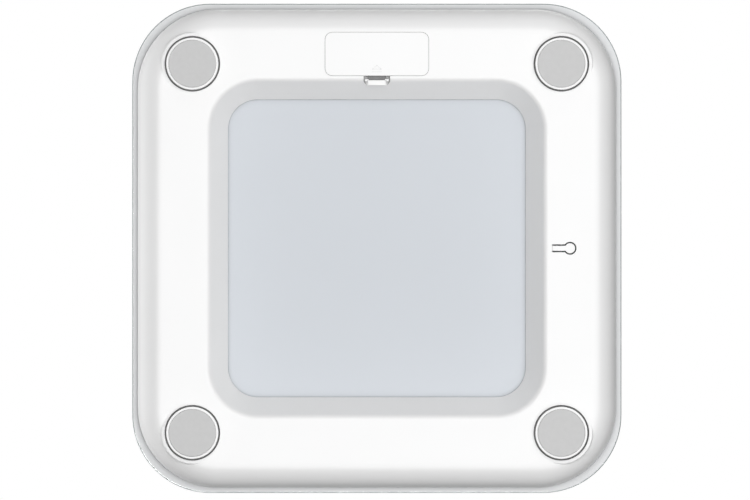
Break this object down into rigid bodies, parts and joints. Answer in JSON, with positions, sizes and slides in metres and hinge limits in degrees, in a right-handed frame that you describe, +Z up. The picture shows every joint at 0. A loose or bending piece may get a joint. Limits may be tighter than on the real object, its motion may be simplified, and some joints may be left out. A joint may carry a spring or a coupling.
{
  "type": "digital bathroom scale",
  "caption": "Square digital bathroom scale: glass platform on a ring-shaped plastic base with load-cell feet, battery door and unit button.",
  "frame": {"origin": "middle of the footprint on the floor, at the height of the foot pads", "axes": "+Z up, +Y towards the display, -Y towards the battery door, +X towards the unit button"},
  "size_m": [0.3, 0.3, 0.0288],
  "materials": {
    "clear_glass": "polished tempered glass",
    "bluish_grey_coat": "smooth satin paint on the back of the glass",
    "white_gloss_plastic": "moulded gloss plastic",
    "white_door_plastic": "moulded gloss plastic",
    "foam_tape": "matte double-sided foam tape",
    "grey_foot_foam": "fine matte anti-slip foam rubber",
    "plated_steel": "zinc-plated steel",
    "white_sealant": "cured silicone sealant",
    "black_plastic": "matte moulded plastic",
    "board_green": "solder mask",
    "display_glass": "smooth display glass",
    "cell_jacket": "plain printed sleeve with no text",
    "lead_jacket": "flexible insulation"
  },
  "bodies": {
    "base": {"glass_platform": "clear_glass", "glass_back_coat": "bluish_grey_coat", "adhesive_tape_outer": "foam_tape", "adhesive_tape_inner": "foam_tape", "bottom_housing": "white_gloss_plastic", "tact_switch_body": "black_plastic", "switch_board": "board_green", "battery_cell_1": "cell_jacket", "battery_cell_2": "cell_jacket", "battery_contact_bridge": "plated_steel", "battery_contact_positive": "plated_steel", "battery_contact_negative": "plated_steel", "battery_spring_bridge": "plated_steel", "battery_spring_negative": "plated_steel", "main_board": "board_green", "board_screw_left": "plated_steel", "board_screw_right": "plated_steel", "controller_chip": "black_plastic", "display_holder": "white_gloss_plastic", "display_panel": "display_glass", "switch_lead": "lead_jacket", "battery_lead_positive": "lead_jacket", "battery_lead_negative": "lead_jacket", "load_cell_display_left": "plated_steel", "strain_gauge_seal_display_left": "white_sealant", "corner_bracket_display_left": "white_gloss_plastic", "load_cell_lead_display_left": "lead_jacket", "bracket_screw_1_display_left": "plated_steel", "bracket_screw_2_display_left": "plated_steel", "load_cell_display_right": "plated_steel", "strain_gauge_seal_display_right": "white_sealant", "corner_bracket_display_right": "white_gloss_plastic", "load_cell_lead_display_right": "lead_jacket", "bracket_screw_1_display_right": "plated_steel", "bracket_screw_2_display_right": "plated_steel", "load_cell_battery_left": "plated_steel", "strain_gauge_seal_battery_left": "white_sealant", "corner_bracket_battery_left": "white_gloss_plastic", "load_cell_lead_battery_left": "lead_jacket", "bracket_screw_1_battery_left": "plated_steel", "bracket_screw_2_battery_left": "plated_steel", "load_cell_battery_right": "plated_steel", "strain_gauge_seal_battery_right": "white_sealant", "corner_bracket_battery_right": "white_gloss_plastic", "load_cell_lead_battery_right": "lead_jacket", "bracket_screw_1_battery_right": "plated_steel", "bracket_screw_2_battery_right": "plated_steel"},
    "battery_door": {"battery_door": "white_door_plastic"},
    "door_latch": {"battery_door_latch": "white_door_plastic"},
    "unit_button": {"unit_button": "white_gloss_plastic"},
    "switch_plunger": {"tact_switch_plunger": "black_plastic"},
    "foot_display_left": {"foot_cap_display_left": "white_gloss_plastic", "foot_pad_display_left": "grey_foot_foam"},
    "foot_display_right": {"foot_cap_display_right": "white_gloss_plastic", "foot_pad_display_right": "grey_foot_foam"},
    "foot_battery_left": {"foot_cap_battery_left": "white_gloss_plastic", "foot_pad_battery_left": "grey_foot_foam"},
    "foot_battery_right": {"foot_cap_battery_right": "white_gloss_plastic", "foot_pad_battery_right": "grey_foot_foam"}
  },
  "joints": [
    {"name": "door_hinge", "type": "hinge", "parent": "base", "child": "battery_door", "pos_m": [0, -0.1323, 0.005], "axis": [-1, 0, 0], "range_deg": [0, 90]},
    {"name": "latch_squeeze", "type": "slide", "parent": "battery_door", "child": "door_latch", "axis": [0, -1, 0], "range_m": [0, 0.0012], "stiffness_N_per_m": 1500, "springref_m": -0.0005},
    {"name": "button_press", "type": "hinge", "parent": "base", "child": "unit_button", "pos_m": [0.1074, 0, 0.0057], "axis": [0, -1, 0], "range_deg": [0, 2.5], "stiffness_Nm_per_rad": 0.1, "springref_deg": -2.86},
    {"name": "plunger_travel", "type": "slide", "parent": "base", "child": "switch_plunger", "axis": [0, 0, 1], "range_m": [0, 0.00048]},
    {"name": "foot_press_display_left", "type": "slide", "parent": "base", "child": "foot_display_left", "axis": [0, 0, 1], "range_m": [0, 0.0008], "stiffness_N_per_m": 5000, "springref_m": -0.002},
    {"name": "foot_press_display_right", "type": "slide", "parent": "base", "child": "foot_display_right", "axis": [0, 0, 1], "range_m": [0, 0.0008], "stiffness_N_per_m": 5000, "springref_m": -0.002},
    {"name": "foot_press_battery_left", "type": "slide", "parent": "base", "child": "foot_battery_left", "axis": [0, 0, 1], "range_m": [0, 0.0008], "stiffness_N_per_m": 5000, "springref_m": -0.002},
    {"name": "foot_press_battery_right", "type": "slide", "parent": "base", "child": "foot_battery_right", "axis": [0, 0, 1], "range_m": [0, 0.0008], "stiffness_N_per_m": 5000, "springref_m": -0.002}
  ],
  "couplings": [
    {"joint": "plunger_travel", "follows": "button_press", "m_per_rad": 0.0109}
  ]
}
